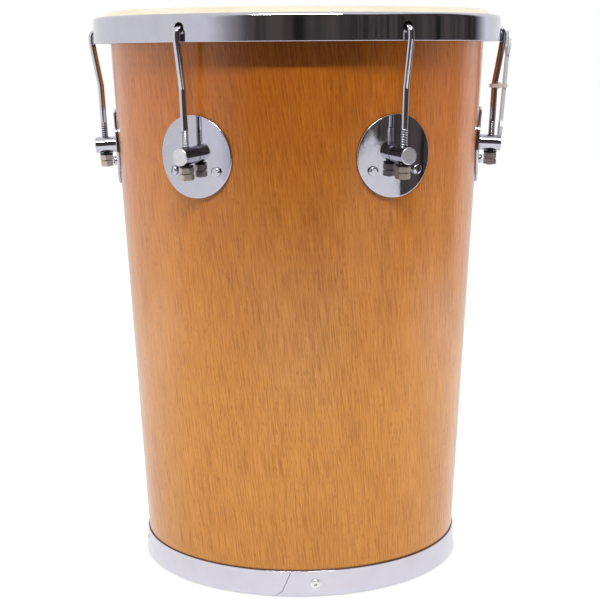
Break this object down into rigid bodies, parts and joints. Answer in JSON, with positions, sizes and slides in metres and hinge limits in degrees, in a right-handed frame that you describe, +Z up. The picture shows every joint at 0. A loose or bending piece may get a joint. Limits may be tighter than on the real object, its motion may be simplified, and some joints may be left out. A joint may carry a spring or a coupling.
{
  "type": "rebolo drum",
  "caption": "Tapered wooden hand drum with one tensioned skin, a chromed hoop drawn down by hooked rods through lugs, and a chromed ring round its open foot.",
  "frame": {"origin": "centre of the foot ring's underside, on the drum's axis", "axes": "+Z up along the drum's axis; -Y is the front that the picture shows; the wrench hangs at +X"},
  "size_m": [0.3449, 0.3288, 0.45],
  "materials": {
    "wood": "clear satin varnish over honey-coloured veneer",
    "chrome": "polished chrome plate",
    "skin": "cream translucent skin, matt",
    "zinc": "dull zinc plate",
    "black_washer": "black oxide",
    "wrench": "pale stamped steel",
    "tie": "white nylon"
  },
  "bodies": {
    "drum": {"shell": "wood", "bottom_ring": "chrome", "ring_rivet_1": "chrome", "ring_rivet_2": "chrome", "ring_rivet_3": "chrome", "ring_rivet_4": "chrome", "drumhead": "skin", "tuning_wrench": "wrench", "cable_tie": "tie", "lug_plate_1": "chrome", "lug_plate_2": "chrome", "lug_plate_3": "chrome", "lug_plate_4": "chrome", "lug_plate_5": "chrome", "lug_plate_6": "chrome", "lug_post_1": "chrome", "lug_post_2": "chrome", "lug_post_3": "chrome", "lug_post_4": "chrome", "lug_post_5": "chrome", "lug_post_6": "chrome", "plate_screw_1a": "chrome", "plate_screw_2a": "chrome", "plate_screw_3a": "chrome", "plate_screw_4a": "chrome", "plate_screw_5a": "chrome", "plate_screw_6a": "chrome", "plate_screw_1b": "chrome", "plate_screw_2b": "chrome", "plate_screw_3b": "chrome", "plate_screw_4b": "chrome", "plate_screw_5b": "chrome", "plate_screw_6b": "chrome", "rod_washer_1": "black_washer", "rod_washer_2": "black_washer", "rod_washer_3": "black_washer", "rod_washer_4": "black_washer", "rod_washer_5": "black_washer", "rod_washer_6": "black_washer"},
    "hoop": {"hoop": "chrome", "flesh_hoop": "zinc"},
    "rod_1": {"tension_rod_1": "chrome"},
    "nuts_1": {"tuning_nut_1": "zinc", "lock_nut_1": "zinc"},
    "rod_2": {"tension_rod_2": "chrome"},
    "nuts_2": {"tuning_nut_2": "zinc", "lock_nut_2": "zinc"},
    "rod_3": {"tension_rod_3": "chrome"},
    "nuts_3": {"tuning_nut_3": "zinc", "lock_nut_3": "zinc"},
    "rod_4": {"tension_rod_4": "chrome"},
    "nuts_4": {"tuning_nut_4": "zinc", "lock_nut_4": "zinc"},
    "rod_5": {"tension_rod_5": "chrome"},
    "nuts_5": {"tuning_nut_5": "zinc", "lock_nut_5": "zinc"},
    "rod_6": {"tension_rod_6": "chrome"},
    "nuts_6": {"tuning_nut_6": "zinc", "lock_nut_6": "zinc"}
  },
  "joints": [
    {"name": "hoop_slide", "type": "slide", "parent": "drum", "child": "hoop", "axis": [0, 0, 1], "range_m": [-0.006, 0.002]},
    {"name": "rod_slide_1", "type": "slide", "parent": "drum", "child": "rod_1", "axis": [-0.0532, 0.0009, 0.9986], "range_m": [-0.00602, 0.00202]},
    {"name": "nut_turn_1", "type": "hinge", "parent": "drum", "child": "nuts_1", "pos_m": [-0.15908, 0.00278, 0.34315], "axis": [-0.0532, 0.0009, 0.9986], "range_deg": [-725, 2170]},
    {"name": "rod_slide_2", "type": "slide", "parent": "drum", "child": "rod_2", "axis": [-0.0274, -0.0456, 0.9986], "range_m": [-0.00602, 0.00202]},
    {"name": "nut_turn_2", "type": "hinge", "parent": "drum", "child": "nuts_2", "pos_m": [-0.08195, -0.13638, 0.34315], "axis": [-0.0274, -0.0456, 0.9986], "range_deg": [-725, 2170]},
    {"name": "rod_slide_3", "type": "slide", "parent": "drum", "child": "rod_3", "axis": [0.0258, -0.0465, 0.9986], "range_m": [-0.00602, 0.00202]},
    {"name": "nut_turn_3", "type": "hinge", "parent": "drum", "child": "nuts_3", "pos_m": [0.07714, -0.13916, 0.34315], "axis": [0.0258, -0.0465, 0.9986], "range_deg": [-725, 2170]},
    {"name": "rod_slide_4", "type": "slide", "parent": "drum", "child": "rod_4", "axis": [0.0532, -0.0009, 0.9986], "range_m": [-0.00602, 0.00202]},
    {"name": "nut_turn_4", "type": "hinge", "parent": "drum", "child": "nuts_4", "pos_m": [0.15908, -0.00278, 0.34315], "axis": [0.0532, -0.0009, 0.9986], "range_deg": [-725, 2170]},
    {"name": "rod_slide_5", "type": "slide", "parent": "drum", "child": "rod_5", "axis": [0.0274, 0.0456, 0.9986], "range_m": [-0.00602, 0.00202]},
    {"name": "nut_turn_5", "type": "hinge", "parent": "drum", "child": "nuts_5", "pos_m": [0.08195, 0.13638, 0.34315], "axis": [0.0274, 0.0456, 0.9986], "range_deg": [-725, 2170]},
    {"name": "rod_slide_6", "type": "slide", "parent": "drum", "child": "rod_6", "axis": [-0.0258, 0.0465, 0.9986], "range_m": [-0.00602, 0.00202]},
    {"name": "nut_turn_6", "type": "hinge", "parent": "drum", "child": "nuts_6", "pos_m": [-0.07714, 0.13916, 0.34315], "axis": [-0.0258, 0.0465, 0.9986], "range_deg": [-725, 2170]}
  ],
  "couplings": [
    {"joint": "rod_slide_1", "follows": "hoop_slide", "ratio": 1.0014},
    {"joint": "nut_turn_1", "follows": "hoop_slide", "rad_per_m": -6292.1},
    {"joint": "rod_slide_2", "follows": "hoop_slide", "ratio": 1.0014},
    {"joint": "nut_turn_2", "follows": "hoop_slide", "rad_per_m": -6292.1},
    {"joint": "rod_slide_3", "follows": "hoop_slide", "ratio": 1.0014},
    {"joint": "nut_turn_3", "follows": "hoop_slide", "rad_per_m": -6292.1},
    {"joint": "rod_slide_4", "follows": "hoop_slide", "ratio": 1.0014},
    {"joint": "nut_turn_4", "follows": "hoop_slide", "rad_per_m": -6292.1},
    {"joint": "rod_slide_5", "follows": "hoop_slide", "ratio": 1.0014},
    {"joint": "nut_turn_5", "follows": "hoop_slide", "rad_per_m": -6292.1},
    {"joint": "rod_slide_6", "follows": "hoop_slide", "ratio": 1.0014},
    {"joint": "nut_turn_6", "follows": "hoop_slide", "rad_per_m": -6292.1}
  ]
}
